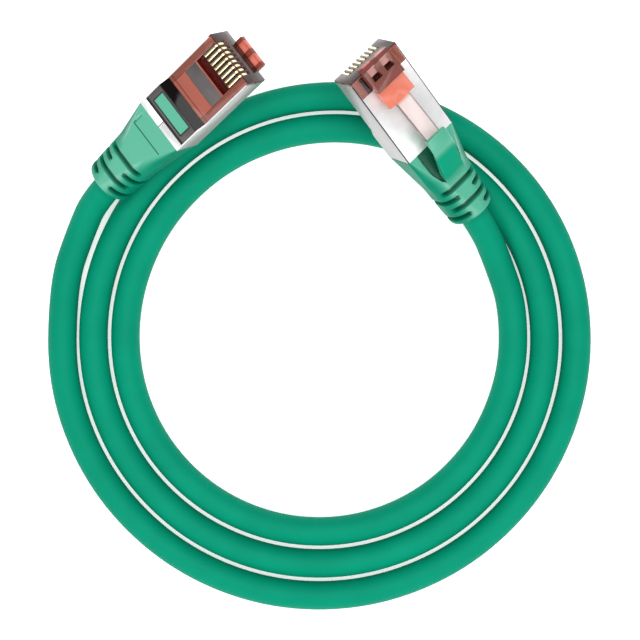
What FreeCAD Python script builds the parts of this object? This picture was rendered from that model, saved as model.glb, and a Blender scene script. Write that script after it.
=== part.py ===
import FreeCAD, Part
import math
import os
import re
import Sketcher

# A shielded ethernet patch cable: a round jacketed cable lying in a flat spiral coil, with a moulded
# plug on each end. Plug a lies with its contacts up, plug b with its latch up.
#
# Row frame: +Z up, millimetres, origin on the floor under the middle of the whole object.
# Plug frame: X runs from the nose back along the plug, Y across it, Z towards the latch.

VECTOR = FreeCAD.Vector
UP = VECTOR(0, 0, 1)
PLUGS = ("a", "b")
CONTACTS = range(8)
HALF_TURNS = 5
POINTS_PER_HALF_TURN = 8
ARC_SHARE = 0.45  # how much of the shorter run beside a corner its arc takes up
LEAST_FLAT = 0.05  # half the straight left between two rounded corners, so a section keeps eight edges
LAY_ANGLES = (157.5, 202.5, 247.5, 112.5, 67.5, 292.5, 337.5, 22.5)  # where each wire lies in the cable

SIZES = [
    # cable
    ("cable_diameter", 5.6),
    ("jacket_wall", 0.6),
    ("screen_wall", 0.2),
    ("screen_gap", 0.04),
    ("wire_diameter", 0.95),
    ("wire_ring_radius", 1.42),
    ("wire_start", 1.4),
    ("wire_gather_start", 1.8),
    ("wire_gather_share", 0.45),
    ("straight_past_boot", 4.0),
    # coil
    ("coil_radius", 50.6),
    ("coil_gap", 0.69),
    ("shift_across", -0.08),
    ("shift_along", -1.9),
    # plug body
    ("plug_width", 11.68),
    ("nose_height", 6.6),
    ("plug_length", 19.8),
    ("shield_wall", 0.3),
    ("shield_start", 3.9),
    ("nose_flange", 0.6),
    ("rear_rise", 1.1),
    ("ramp_start", 12.3),
    ("ramp_end", 14.0),
    ("band_start", 18.3),
    ("seam_gap", 0.12),
    ("fit_gap", 0.03),
    # contacts and wires in the plug
    ("contact_pitch", 1.02),
    ("contact_thickness", 0.5),
    ("contact_length", 3.7),
    ("contact_front", 0.12),
    ("contact_recess", 0.05),
    ("contact_corner", 0.3),
    ("contact_tooth", 0.7),
    ("slot_width", 0.62),
    ("row_height", 0.3),
    ("recess_end", 5.6),
    ("recess_depth", 1.4),
    ("comb_start", 5.9),
    ("comb_length", 3.0),
    ("comb_width", 8.3),
    ("comb_height", 3.8),
    ("chamber_width", 9.2),
    ("chamber_low", -2.32),
    ("chamber_high", 2.2),
    # strain relief clamp and its window
    ("window_start", 14.7),
    ("window_length", 2.4),
    ("window_width", 8.2),
    ("tongue_depth", 0.85),
    ("groove_width", 0.35),
    # latch
    ("latch_head_width", 6.7),
    ("latch_width", 6.2),
    ("latch_arm_width", 3.25),
    ("latch_overhang", 1.2),
    ("latch_lift", 0.32),
    ("latch_slope", 0.148),
    ("latch_thickness", 0.9),
    ("latch_head_end", 4.0),
    ("latch_head_thickness", 1.9),
    ("latch_nose_height", 1.33),
    ("pocket_start", -0.5),
    ("pocket_end", 1.85),
    ("pocket_width", 1.9),
    ("latch_shoulder", 8.0),
    ("latch_end", 17.8),
    # boot
    ("boot_length", 18.0),
    ("boot_waist", 9.6),
    ("waist_width", 9.6),
    ("tail_diameter", 9.3),
    ("front_corner", 0.4),
    ("waist_corner", 3.0),
    ("rib_start", 29.4),
    ("rib_step", 2.12),
    ("rib_width", 1.0),
    ("rib_depth", 1.0),
    ("rib_reach", 4.2),
    ("rib_side", 1.9),
    ("mould_width", 7.2),
    ("mould_wall", 0.5),
    ("mould_end", 26.9),
    ("mould_top_inset", 0.35),
    ("mould_bottom_inset", 0.25),
    ("strip_point", 25.9),
    ("ferrule_start", 21.2),
    ("ferrule_length", 3.4),
    ("ferrule_wall", 0.25),
    # latch guard
    ("guard_overlap", 1.2),
    ("guard_end", 27.6),
    ("guard_width", 4.6),
    ("guard_high", 8.8),
    ("guard_thickness", 1.1),
    ("guard_nose", 3),
    ("guard_dip", 0.3),
    ("guard_root_top", 4.9),
    ("guard_root_length", 2),
    ("guard_clearance", 0.9),
    ("channel_width", 7.1),
    ("channel_cover", 0.35),
    ("channel_past_guard", 0.3),
    # where each boot ends, beside its turn of the coil, and how its plug lies
    ("end_angle_a", 145.1),
    ("end_out_a", -0.6),
    ("end_lift_a", 5.0),
    ("heading_a", 40.0),
    ("rise_a", 29.0),
    ("roll_a", -5.5),
    ("end_angle_b", 43.9),
    ("end_out_b", 1.45),
    ("end_lift_b", 5.8),
    ("heading_b", 129.5),
    ("rise_b", 28.0),
    ("roll_b", 10.5),
]

doc = FreeCAD.newDocument("patch_cable")
sheet = doc.addObject("Spreadsheet::Sheet", "sizes")
for row, (alias, value) in enumerate(SIZES, start=1):
    sheet.set(f"A{row}", alias)
    sheet.set(f"B{row}", str(value))
    sheet.setAlias(f"B{row}", alias)
doc.recompute()

ALIAS = r"[a-z][a-z_]*[a-z]"
HALF_WIDTH = "(plug_width / 2)"
HALF_HEIGHT = "(nose_height / 2)"
CORE_HALF = "(plug_width / 2 - shield_wall)"
CORE_HIGH = "(nose_height / 2 - shield_wall)"
REAR_LOW = "(-nose_height / 2 - rear_rise)"
AXIS_Z = "(-rear_rise / 2)"
BOOT_END = "(plug_length + boot_length)"
MOULD_HIGH = "(cable_diameter / 2 - rear_rise / 2 - mould_top_inset)"
MOULD_LOW = "(mould_bottom_inset - cable_diameter / 2 - rear_rise / 2)"
CHANNEL_FLOOR = "(cable_diameter / 2 - rear_rise / 2 + channel_cover)"


def size(text):
    """The value of an expression of sheet sizes."""
    numbers = re.sub(ALIAS, lambda word: repr(float(sheet.get(word.group()))), text)
    return FreeCAD.Units.Quantity(numbers).Value


def bind(thing, prop, text):
    """Ties a property to the sheet."""
    thing.setExpression(prop, re.sub(ALIAS, lambda word: f"sizes.{word.group()}", text))


# ---------------------------------------------------------------- building blocks


def box(name, across_x, across_y, across_z):
    """A block between pairs of plug-frame planes, each given as an expression."""
    block = doc.addObject("Part::Box", name)
    spans = zip(("Length", "Width", "Height"), "xyz", (across_x, across_y, across_z))
    for prop, axis, (low, high) in spans:
        bind(block, prop, f"({high}) - ({low})")
        bind(block, f"Placement.Base.{axis}", low)
    return block


def both_sides(half):
    return (f"-({half})", half)


def rod(name, start, end, radius, across="0", height=AXIS_Z):
    """A round bar along the plug."""
    bar = doc.addObject("Part::Cylinder", name)
    bar.Placement = FreeCAD.Placement(VECTOR(), FreeCAD.Rotation(VECTOR(0, 1, 0), 90))
    bind(bar, "Radius", radius)
    bind(bar, "Height", f"({end}) - ({start})")
    bind(bar, "Placement.Base.x", start)
    bind(bar, "Placement.Base.y", across)
    bind(bar, "Placement.Base.z", height)
    return bar


def fuse(name, shapes):
    union = doc.addObject("Part::MultiFuse", name)
    union.Shapes = shapes
    union.Refine = True
    return union


def cut(name, base, tools):
    """The base with every tool taken out of it."""
    tool = tools[0] if len(tools) == 1 else fuse(f"{name}_tools", tools)
    result = doc.addObject("Part::Cut", name)
    result.Base = base
    result.Tool = tool
    result.Refine = True
    return result


def profile_pad(name, points, thickness):
    """A Body padded both ways across the plug from a side outline, each point a pair of expressions."""
    body = doc.addObject("PartDesign::Body", name)
    sketch = body.newObject("Sketcher::SketchObject", f"{name}_outline")
    plane = next(part for part in body.Origin.OriginFeatures if part.Role == "XZ_Plane")
    sketch.AttachmentSupport = [(plane, "")]
    sketch.MapMode = "FlatFace"
    corners = [VECTOR(size(across), size(height), 0) for across, height in points]
    for start, end in zip(corners, corners[1:] + corners[:1]):
        sketch.addGeometry(Part.LineSegment(start, end))
    count = len(corners)
    for index in range(count):
        sketch.addConstraint(Sketcher.Constraint("Coincident", index, 2, (index + 1) % count, 1))
    for index, (across, height) in enumerate(points):
        corner = corners[index]
        for kind, text, value in (("DistanceX", across, corner.x), ("DistanceY", height, corner.y)):
            number = sketch.addConstraint(Sketcher.Constraint(kind, -1, 1, index, 1, value))
            bind(sketch, f"Constraints[{number}]", text)
    pad = body.newObject("PartDesign::Pad", f"{name}_pad")
    pad.Profile = sketch
    bind(pad, "Length", thickness)
    pad.SideType = "Symmetric"
    body.Tip = pad
    return body


def plain(name, shape):
    """A feature whose shape comes from Part's own functions."""
    feature = doc.addObject("Part::Feature", name)
    feature.Shape = shape
    return feature


nodes = []


def keep(thing, label, placement):
    """Names a finished sub-part and puts it in its place."""
    thing.Label = label
    thing.Placement = placement
    nodes.append(thing)


# ---------------------------------------------------------------- where the plugs lie


def plug_frame(plug):
    """The plug's X, Y and Z directions: its nose rises from the coil and it leans outwards."""
    heading = math.radians(size(f"heading_{plug}"))
    rise = math.radians(size(f"rise_{plug}"))
    roll = math.radians(size(f"roll_{plug}"))
    nose = VECTOR(math.cos(heading) * math.cos(rise), math.sin(heading) * math.cos(rise), math.sin(rise))
    top = VECTOR(-math.cos(heading) * math.sin(rise), -math.sin(heading) * math.sin(rise), math.cos(rise))
    top = top * math.cos(roll) + nose.cross(top) * math.sin(roll)
    latch = top * (-1 if plug == "a" else 1)
    back = nose * -1
    return back, latch.cross(back), latch


def shift():
    """The coil's first centre in the row frame."""
    return VECTOR(size("shift_across"), size("shift_along"), 0)


def half_pitch():
    return (size("cable_diameter") + size("coil_gap")) / 2


def beside_turn(half_turns, angle, out, lift):
    """A point by the coil: its angle, how far outside the turn's centre line, and how far above it.

    The turn is named by its count of half turns from the first full one: -1 leads to plug a, 5 to plug b.
    """
    radius = size("coil_radius") - half_turns * half_pitch() + out
    middle = half_pitch() if half_turns % 2 else 0
    angle = math.radians(angle)
    height = size("cable_diameter") / 2 + lift
    return VECTOR(middle + radius * math.cos(angle), radius * math.sin(angle), height)


def plug_placement(plug):
    back, across, latch = plug_frame(plug)
    turn = FreeCAD.Rotation(back, across, latch, "XYZ")
    half_turns = -1 if plug == "a" else HALF_TURNS
    angle, out, lift = (size(f"end_{part}_{plug}") for part in ("angle", "out", "lift"))
    end = beside_turn(half_turns, angle, out, lift) + shift()
    return FreeCAD.Placement(end - turn.multVec(VECTOR(size(BOOT_END), 0, size(AXIS_Z))), turn)


def contact_place(index):
    """How far across the plug a contact and its wire lie."""
    return f"({index - 3.5} * contact_pitch)"


# ---------------------------------------------------------------- plug pieces


def make_housing(plug):
    """Translucent moulding that holds the contacts, the wires and the latch's root."""
    name = f"housing_{plug}"
    flange = box(f"{name}_flange", ("0", "nose_flange"), both_sides(HALF_WIDTH),
                 (f"-{HALF_HEIGHT}", HALF_HEIGHT))
    nose = box(f"{name}_nose", ("0", "shield_start"), both_sides(CORE_HALF), (f"-{HALF_HEIGHT}", HALF_HEIGHT))
    core = box(f"{name}_core", ("0", "plug_length"), both_sides(CORE_HALF), (f"-{HALF_HEIGHT}", CORE_HIGH))
    ramp = profile_pad(f"{name}_ramp", [("ramp_start", f"-{HALF_HEIGHT}"), ("ramp_end", REAR_LOW),
                                        ("ramp_end", "0"), ("ramp_start", "0")], f"2 * {CORE_HALF}")
    solid = fuse(f"{name}_solid", [flange, nose, core, ramp])
    tools = []
    for index in CONTACTS:
        middle = contact_place(index)
        tools.append(box(f"{name}_slot_{index}", ("-1", "contact_length + slot_width"),
                         (f"{middle} - slot_width / 2", f"{middle} + slot_width / 2"),
                         (f"-{HALF_HEIGHT} - 1", "row_height - wire_diameter / 2")))
    tools.append(box(f"{name}_recess", ("contact_length + fit_gap", "recess_end"),
                     both_sides("8 * contact_pitch / 2"),
                     (f"-{HALF_HEIGHT} - 1", f"-{HALF_HEIGHT} + recess_depth")))
    row_half = "wire_diameter / 2 + fit_gap"
    tools.append(box(f"{name}_wireway", ("2 * nose_flange", "comb_start + 1"),
                     both_sides("4 * contact_pitch + fit_gap"),
                     (f"row_height - ({row_half})", f"row_height + {row_half}")))
    tools.append(box(f"{name}_comb_seat", ("comb_start", "comb_start + comb_length"),
                     both_sides("comb_width / 2"), (f"-{HALF_HEIGHT} - 1", "comb_height / 2")))
    tools.append(box(f"{name}_chamber", ("comb_start + comb_length - fit_gap", "plug_length + 1"),
                     both_sides("chamber_width / 2"), ("chamber_low", "chamber_high")))
    tools.append(box(f"{name}_window", ("window_start", "plug_length + 1"), both_sides("window_width / 2"),
                     (f"-{HALF_HEIGHT} - 1", f"-{HALF_HEIGHT} + tongue_depth")))
    return cut(name, solid, tools)


def make_contact(plug, index):
    """Gold-plated blade whose two teeth bite into the wire below it."""
    outer = f"(-{HALF_HEIGHT} + contact_recess)"
    tip = "(row_height - wire_diameter / 2 - contact_recess)"
    root = f"({tip} - contact_tooth)"
    step = "(contact_length / 8)"
    points = [("contact_front", root), ("contact_front", f"{outer} + 3 * contact_corner"),
              (f"contact_front + {step}", f"{outer} + contact_corner"),
              (f"contact_front + 2 * {step}", outer), ("contact_length", outer), ("contact_length", root),
              (f"7 * {step}", tip), (f"6 * {step}", root), (f"4 * {step}", root), (f"3 * {step}", tip),
              (f"2 * {step}", root)]
    return profile_pad(f"contact_{plug}_{index + 1}", points, "contact_thickness")


def make_comb(plug):
    """Block that holds the eight wires in a row, let into the housing's contact side."""
    name = f"wire_comb_{plug}"
    block = box(f"{name}_block", ("comb_start + fit_gap", "comb_start + comb_length - fit_gap"),
                both_sides("comb_width / 2 - fit_gap"),
                (f"-{HALF_HEIGHT} + contact_recess", "comb_height / 2 - fit_gap"))
    holes = [rod(f"{name}_hole_{index}", "comb_start - 1", "comb_start + comb_length + 1",
                 "wire_diameter / 2 + fit_gap / 2", contact_place(index), "row_height") for index in CONTACTS]
    return cut(name, block, holes)


def make_clamp(plug):
    """Grey strain relief bar with the window that shows the moulding under it."""
    name = f"relief_clamp_{plug}"
    frame = box(f"{name}_frame", ("ramp_end + fit_gap", "band_start - groove_width"),
                both_sides(f"{CORE_HALF} - fit_gap"), (REAR_LOW, f"-{HALF_HEIGHT} - fit_gap"))
    foot = box(f"{name}_foot", ("ramp_end + fit_gap", "plug_length - fit_gap"),
               both_sides(f"{CORE_HALF} - fit_gap"),
               (f"{REAR_LOW} + shield_wall + fit_gap", f"-{HALF_HEIGHT} - fit_gap"))
    window = box(f"{name}_window", ("window_start", "window_start + window_length"),
                 both_sides("window_width / 2"), (f"{REAR_LOW} - 1", "0"))
    return cut(name, fuse(f"{name}_solid", [frame, foot]), [window])


def make_shield(plug):
    """Folded nickel-plated sheet: a latch-side plate, two sides and a band round the rear."""
    name = f"shield_{plug}"
    outer = box(f"{name}_outer", ("nose_flange", "plug_length"), both_sides(HALF_WIDTH),
                (REAR_LOW, HALF_HEIGHT))
    inner = box(f"{name}_inner", ("0", "plug_length + 1"), both_sides(f"{CORE_HALF} + fit_gap / 2"),
                (f"{REAR_LOW} + shield_wall", f"{CORE_HIGH} + fit_gap / 2"))
    front = box(f"{name}_front", ("0", "shield_start + fit_gap"), both_sides(f"{CORE_HALF} + fit_gap / 2"),
                ("0", "nose_height"))
    belly = box(f"{name}_belly", ("0", "band_start"), both_sides(f"{CORE_HALF} + fit_gap / 2"),
                (f"{REAR_LOW} - 1", "0"))
    seam = box(f"{name}_seam", ("band_start - 1", "plug_length + 1"), both_sides("seam_gap / 2"),
               (f"{REAR_LOW} - 1", f"{REAR_LOW} + 1"))
    slope = profile_pad(f"{name}_slope", [("-1", f"-{HALF_HEIGHT}"), ("ramp_start", f"-{HALF_HEIGHT}"),
                                          ("ramp_end", REAR_LOW), ("ramp_end", f"{REAR_LOW} - 3"),
                                          ("-1", f"{REAR_LOW} - 3")], "2 * plug_width")
    return cut(name, outer, [inner, front, belly, seam, slope])


def latch_height(place):
    """The latch's underside at a place along the plug, as an expression."""
    return f"({HALF_HEIGHT} + latch_lift + ({place}) * latch_slope)"


def make_latch(plug):
    """Springy latch: a wide head with two pockets, shoulders that catch the socket, and a thumb arm."""
    name = f"latch_{plug}"
    under = latch_height
    points = [("-latch_overhang", under("0")), ("-latch_overhang", f"{under('0')} + latch_nose_height"),
              ("-latch_overhang / 2", f"{under('0')} + latch_head_thickness"),
              ("latch_head_end", f"{under('latch_head_end')} + latch_head_thickness"),
              ("latch_head_end", f"{under('latch_head_end')} + latch_thickness"),
              ("latch_end", f"{under('latch_end')} + latch_thickness"),
              ("latch_end", under("latch_end")), ("0", under("0"))]
    bar = profile_pad(f"{name}_bar", points, "latch_head_width")
    tools = []
    for stretch, start, half in (("shoulder", "latch_head_end", "latch_width / 2"),
                                 ("arm", "latch_shoulder", "latch_arm_width / 2")):
        both = (("left", ("-latch_head_width", f"-{half}")), ("right", (half, "latch_head_width")))
        for sign, sides in both:
            tools.append(box(f"{name}_{stretch}_{sign}", (start, "latch_end + 1"), sides,
                             ("0", "3 * nose_height")))
    pocket_low = f"{HALF_HEIGHT} + latch_lift + latch_thickness"
    for sign, middle in (("left", "-latch_width / 4"), ("right", "latch_width / 4")):
        tools.append(box(f"{name}_pocket_{sign}", ("pocket_start", "pocket_end"),
                         (f"{middle} - pocket_width / 2", f"{middle} + pocket_width / 2"),
                         (pocket_low, "2 * nose_height")))
    return cut(name, bar, tools)


def make_ferrule(plug):
    """Crimped ring that ties the shield to the cable's braid."""
    name = f"crimp_ferrule_{plug}"
    braid = "(cable_diameter / 2 - jacket_wall - screen_gap)"
    ring = rod(f"{name}_ring", "ferrule_start", "ferrule_start + ferrule_length", f"{braid} + ferrule_wall")
    bore = rod(f"{name}_bore", "ferrule_start - 1", "ferrule_start + ferrule_length + 1",
               f"{braid} + fit_gap / 2")
    return cut(name, ring, [bore])


def make_inner_mould(plug):
    """First shot of moulding behind the housing, with a tongue that fills the clamp's window."""
    name = f"inner_mould_{plug}"
    braid = "(cable_diameter / 2 - jacket_wall - screen_gap)"
    block = box(f"{name}_block", ("plug_length + fit_gap", "mould_end"), both_sides("mould_width / 2"),
                (MOULD_LOW, MOULD_HIGH))
    tongue = box(f"{name}_tongue", ("window_start + fit_gap", "plug_length + 2 * fit_gap"),
                 both_sides("mould_width / 2"), (MOULD_LOW, f"-{HALF_HEIGHT} + tongue_depth - fit_gap"))
    fill = box(f"{name}_fill", ("window_start + fit_gap", "window_start + window_length - fit_gap"),
               both_sides("window_width / 2 - fit_gap"),
               (f"{REAR_LOW} + contact_recess", f"-{HALF_HEIGHT} + tongue_depth - fit_gap"))
    tools = [
        box(f"{name}_fan", ("plug_length - 1", "ferrule_start"), both_sides("mould_width / 2 - mould_wall"),
            (f"{AXIS_Z} - {braid} + screen_wall - fit_gap", f"{AXIS_Z} + {braid} - screen_wall + fit_gap")),
        rod(f"{name}_seat", "ferrule_start - fit_gap", "ferrule_start + ferrule_length + fit_gap",
            f"{braid} + ferrule_wall + fit_gap"),
        rod(f"{name}_neck", "ferrule_start", "mould_end + 1", f"{braid} + fit_gap"),
        rod(f"{name}_collar", "strip_point - fit_gap", "mould_end + 1", "cable_diameter / 2 + fit_gap / 2"),
    ]
    return cut(name, fuse(f"{name}_solid", [block, tongue, fill]), tools)


def rounded_section(place, width, low, high, corner):
    """A rounded rectangle across the plug, with the same eight edges at every place."""
    half = width / 2
    reach = min(corner, half - LEAST_FLAT, (high - low) / 2 - LEAST_FLAT)
    edges = []
    spots = [(half - reach, high - reach, 0), (reach - half, high - reach, 90),
             (reach - half, low + reach, 180), (half - reach, low + reach, 270)]
    ends = []
    for across, height, start in spots:
        rim = [VECTOR(place, across + reach * math.cos(math.radians(start + turn)),
                      height + reach * math.sin(math.radians(start + turn))) for turn in (0, 45, 90)]
        ends.append((rim[0], rim[2]))
        edges.append(Part.Arc(*rim).toShape())
    for index in range(4):
        edges.insert(2 * index + 1, Part.LineSegment(ends[index][1], ends[(index + 1) % 4][0]).toShape())
    return Part.Wire(edges)


def boot_loft(inset):
    """The boot's outside, or its groove floor when inset, from its square front to its round tail."""
    axis = size(AXIS_Z)
    front = size("plug_length")
    waist = front + size("boot_waist")
    tail = size(BOOT_END)
    half_front = size(HALF_HEIGHT) - axis
    half_tail = size("tail_diameter") / 2
    half_waist = (half_front + half_tail) / 2
    sections = [
        rounded_section(front, size("plug_width") - 2 * inset, axis - half_front + inset,
                        axis + half_front - inset, size("front_corner")),
        rounded_section(waist, size("waist_width") - 2 * inset, axis - half_waist + inset,
                        axis + half_waist - inset, size("waist_corner")),
        rounded_section(tail, 2 * (half_tail - inset), axis - half_tail + inset, axis + half_tail - inset,
                        half_tail - inset - 2 * LEAST_FLAT),
    ]
    return Part.makeLoft(sections, True, True)


def make_boot(plug):
    """Overmoulded boot with a channel for the latch guard and four rows of flexing slots."""
    name = f"boot_{plug}"
    outside = plain(f"{name}_outside", boot_loft(0))
    rows = []
    far = "plug_width"
    for row in range(4):
        start = f"rib_start + {row} * rib_step"
        span = (start, f"{start} + rib_width")
        if row % 2 == 0:
            rows.append(box(f"{name}_row_{row}", span, both_sides("rib_reach"), both_sides(far)))
        else:
            rows.append(box(f"{name}_row_{row}_left", span, (f"-{far}", "-rib_side"), both_sides(far)))
            rows.append(box(f"{name}_row_{row}_right", span, ("rib_side", far), both_sides(far)))
    floor = plain(f"{name}_floor", boot_loft(size("rib_depth")))
    grooves = cut(f"{name}_grooves", fuse(f"{name}_rows", rows), [floor])
    channel = box(f"{name}_channel", ("plug_length - 1", "guard_end + channel_past_guard"),
                  both_sides("channel_width / 2"), (CHANNEL_FLOOR, "nose_height"))
    chamber = box(f"{name}_chamber", ("plug_length - 1", "mould_end + fit_gap"),
                  both_sides("mould_width / 2 + fit_gap"),
                  (f"{MOULD_LOW} - fit_gap", f"{MOULD_HIGH} + fit_gap"))
    bore = rod(f"{name}_bore", "mould_end", f"{BOOT_END} + 1", "cable_diameter / 2 + fit_gap / 2")
    return cut(name, outside, [grooves, channel, chamber, bore])


def make_guard(plug):
    """Raised tongue of the boot that covers the latch's tail and bends down with it."""
    top = "guard_high"
    bottom = "(guard_high - guard_thickness)"
    seat = f"({CHANNEL_FLOOR} + guard_clearance)"
    front = "(latch_end - guard_overlap)"
    bend = f"{front} + guard_nose"
    points = [(front, bottom), (front, top), (bend, f"{top} - guard_dip"), ("guard_end", "guard_root_top"),
              ("guard_end", seat), ("guard_end - guard_root_length", seat), (bend, f"{bottom} - guard_dip")]
    return profile_pad(f"latch_guard_{plug}", points, "guard_width")


def make_plug(plug):
    place = plug_placement(plug)
    keep(make_housing(plug), f"housing_{plug}", place)
    keep(make_shield(plug), f"shield_{plug}", place)
    keep(make_latch(plug), f"latch_{plug}", place)
    keep(make_comb(plug), f"wire_comb_{plug}", place)
    keep(make_clamp(plug), f"relief_clamp_{plug}", place)
    keep(make_ferrule(plug), f"crimp_ferrule_{plug}", place)
    keep(make_inner_mould(plug), f"inner_mould_{plug}", place)
    keep(make_boot(plug), f"boot_{plug}", place)
    keep(make_guard(plug), f"latch_guard_{plug}", place)
    for index in CONTACTS:
        spot = VECTOR(0, size(contact_place(index)), 0)
        keep(make_contact(plug, index), f"contact_{plug}_{index + 1}",
             place.multiply(FreeCAD.Placement(spot, FreeCAD.Rotation())))


# ---------------------------------------------------------------- the cable's route


def coil_points():
    """Two-centre spiral: each half turn is a semicircle, half a pitch smaller than the one before it."""
    step = 180 / POINTS_PER_HALF_TURN
    points = []
    for half_turn in range(HALF_TURNS):
        radius = size("coil_radius") - half_turn * half_pitch()
        out = radius / math.cos(math.radians(step / 2)) - radius
        for index in range(POINTS_PER_HALF_TURN):
            points.append(beside_turn(half_turn, 180 * (half_turn + 1) + step * (index + 0.5), out, 0))
    return points


def boot_axis_point(plug, past_end):
    """A point on a boot's axis, so far behind its end."""
    place = plug_placement(plug)
    return place.multVec(VECTOR(size(BOOT_END) + past_end, 0, size(AXIS_Z)))


def cable_route():
    """The cable's centre line from inside boot a to inside boot b."""
    inside = size("strip_point") - size(BOOT_END)
    outside = size("straight_past_boot")
    leaving_a = [beside_turn(-1, 157.8, 0.35, 0.1), beside_turn(-1, 168.7, 0.7, 0)]
    reaching_b = [beside_turn(HALF_TURNS, 9.7, 0.69, 0), beside_turn(HALF_TURNS, 25.5, 0.42, 0.6)]
    middle = leaving_a + coil_points() + reaching_b
    return ([boot_axis_point("a", inside), boot_axis_point("a", outside)]
            + [point + shift() for point in middle]
            + [boot_axis_point("b", outside), boot_axis_point("b", inside)])


def rounded_path(points, report=None):
    """Straight runs joined by tangent arcs, each as large as its two runs allow."""
    edges = []
    here = points[0]
    for before, corner, after in zip(points, points[1:], points[2:]):
        inward = (before - corner).normalize()
        onward = (after - corner).normalize()
        half_turn = (math.pi - inward.getAngle(onward)) / 2
        reach = ARC_SHARE * min((before - corner).Length, (after - corner).Length)
        radius = reach / math.tan(half_turn)
        if report is not None:
            report.append(radius)
        start = corner + inward * reach
        end = corner + onward * reach
        bisector = (inward + onward).normalize()
        middle = corner + bisector * (radius / math.cos(half_turn) - radius)
        edges.append(Part.LineSegment(here, start).toShape())
        edges.append(Part.Arc(start, middle, end).toShape())
        here = end
    edges.append(Part.LineSegment(here, points[-1]).toShape())
    return Part.Wire(edges)


def tube(points, radius):
    """A solid round bar that follows the points."""
    path = rounded_path(points)
    start = points[0]
    ring = Part.Wire(Part.Circle(start, points[1] - start, radius).toShape())
    return path.makePipeShell([ring], True, False)


def hollow_tube(points, outer, wall):
    return tube(points, outer).cut(tube(points, outer - wall))


def check_tube(label, shape, area, path_length):
    share = shape.Volume / (area * path_length)
    print(f"{label}: volume over section times length {share:.4f}")


def make_jacket(route):
    outer = size("cable_diameter") / 2
    wall = size("jacket_wall")
    radii = []
    path = rounded_path(route, radii)
    shape = hollow_tube(route, outer, wall)
    print(f"cable path length {path.Length:.1f}, smallest arc radius {min(radii):.1f}")
    check_tube("jacket", shape, math.pi * (outer ** 2 - (outer - wall) ** 2), path.Length)
    return plain("jacket_shape", shape)


def make_screen(route):
    """Braid and foil drawn as one sleeve, which runs on past the jacket into each ferrule."""
    outer = size("cable_diameter") / 2 - size("jacket_wall") - size("screen_gap")
    inside = size("ferrule_start") - size(BOOT_END)
    ends = [boot_axis_point("a", inside)] + route[1:-1] + [boot_axis_point("b", inside)]
    return plain("braid_screen_shape", hollow_tube(ends, outer, size("screen_wall")))


def ring_place(index):
    """Where a wire sits in the cable: across and towards the latch of plug a."""
    angle = math.radians(LAY_ANGLES[index])
    radius = size("wire_ring_radius")
    return radius * math.cos(angle), radius * math.sin(angle)


def plug_wire_points(plug, index, flip):
    """A wire's stretch in a plug, from its contact back to where it joins the round lay."""
    place = plug_placement(plug)
    across, up = ring_place(index)
    axis = size(AXIS_Z)
    row = size(contact_place(index))
    gathered = axis + flip * up * size("wire_gather_share")
    spots = [(size("wire_start"), row, size("row_height")),
             (size("comb_start") + 2 * size("comb_length"), row, size("row_height")),
             (size("plug_length") - size("wire_gather_start"), row, gathered),
             (size("ferrule_start") - 1, across, axis + flip * up)]
    return [place.multVec(VECTOR(*spot)) for spot in spots]


def wire_points(index, route):
    """A wire's whole way: out of plug a, along the cable at its place in the lay, and into plug b."""
    across, up = ring_place(index)
    points = plug_wire_points("a", index, 1)
    for before, corner, after in zip(route, route[1:], route[2:]):
        inward = (corner - before).normalize()
        onward = (after - corner).normalize()
        along = (inward + onward).normalize()
        side = along.cross(UP).normalize()
        low = along.cross(side)
        stretch = 1 / math.cos(inward.getAngle(onward) / 2)
        points.append(corner + side * (across * stretch) + low * up)
    points.extend(reversed(plug_wire_points("b", index, -1)))
    return points


def make_wires(route):
    for index in CONTACTS:
        shape = tube(wire_points(index, route), size("wire_diameter") / 2)
        keep(plain(f"wire_{index + 1}_shape", shape), f"wire_{index + 1}", FreeCAD.Placement())


def make_cable():
    route = cable_route()
    keep(make_jacket(route), "jacket", FreeCAD.Placement())
    keep(make_screen(route), "braid_screen", FreeCAD.Placement())
    make_wires(route)


for plug_name in PLUGS:
    make_plug(plug_name)
make_cable()
doc.recompute()

for thing in doc.Objects:
    if "Invalid" in thing.State or "Error" in thing.State:
        raise RuntimeError(f"{thing.Name} failed: {thing.State}")
for node in nodes:
    if node.Shape.isNull() or not node.Shape.isValid():
        raise RuntimeError(f"{node.Label} has no valid shape")

os.makedirs("parts", exist_ok=True)
for node in nodes:
    node.Shape.exportStep(f"parts/{node.Label}.step")
bounds = FreeCAD.BoundBox()
for node in nodes:
    bounds.add(node.Shape.BoundBox)
print(f"{len(nodes)} nodes, X {bounds.XMin:.2f} {bounds.XMax:.2f}, Y {bounds.YMin:.2f} {bounds.YMax:.2f}, "
      f"Z {bounds.ZMin:.2f} {bounds.ZMax:.2f}")
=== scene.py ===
import math

import bmesh
import bpy
from mathutils import Matrix, Vector

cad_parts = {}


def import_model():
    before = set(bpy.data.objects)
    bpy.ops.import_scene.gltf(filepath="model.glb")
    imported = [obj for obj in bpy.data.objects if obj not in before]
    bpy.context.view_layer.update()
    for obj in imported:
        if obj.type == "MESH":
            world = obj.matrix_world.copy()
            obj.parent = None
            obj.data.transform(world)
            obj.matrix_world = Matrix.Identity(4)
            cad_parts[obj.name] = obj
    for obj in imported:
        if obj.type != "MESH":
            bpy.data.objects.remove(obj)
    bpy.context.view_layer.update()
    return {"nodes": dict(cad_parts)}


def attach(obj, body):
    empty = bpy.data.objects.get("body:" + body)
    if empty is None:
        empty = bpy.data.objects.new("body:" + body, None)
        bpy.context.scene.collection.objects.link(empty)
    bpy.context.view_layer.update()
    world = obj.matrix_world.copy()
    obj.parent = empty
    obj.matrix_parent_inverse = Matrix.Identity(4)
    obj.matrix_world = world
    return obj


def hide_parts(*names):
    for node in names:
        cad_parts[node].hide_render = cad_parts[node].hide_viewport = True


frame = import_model()
MM = 0.001
PLUGS = ("a", "b")

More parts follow.
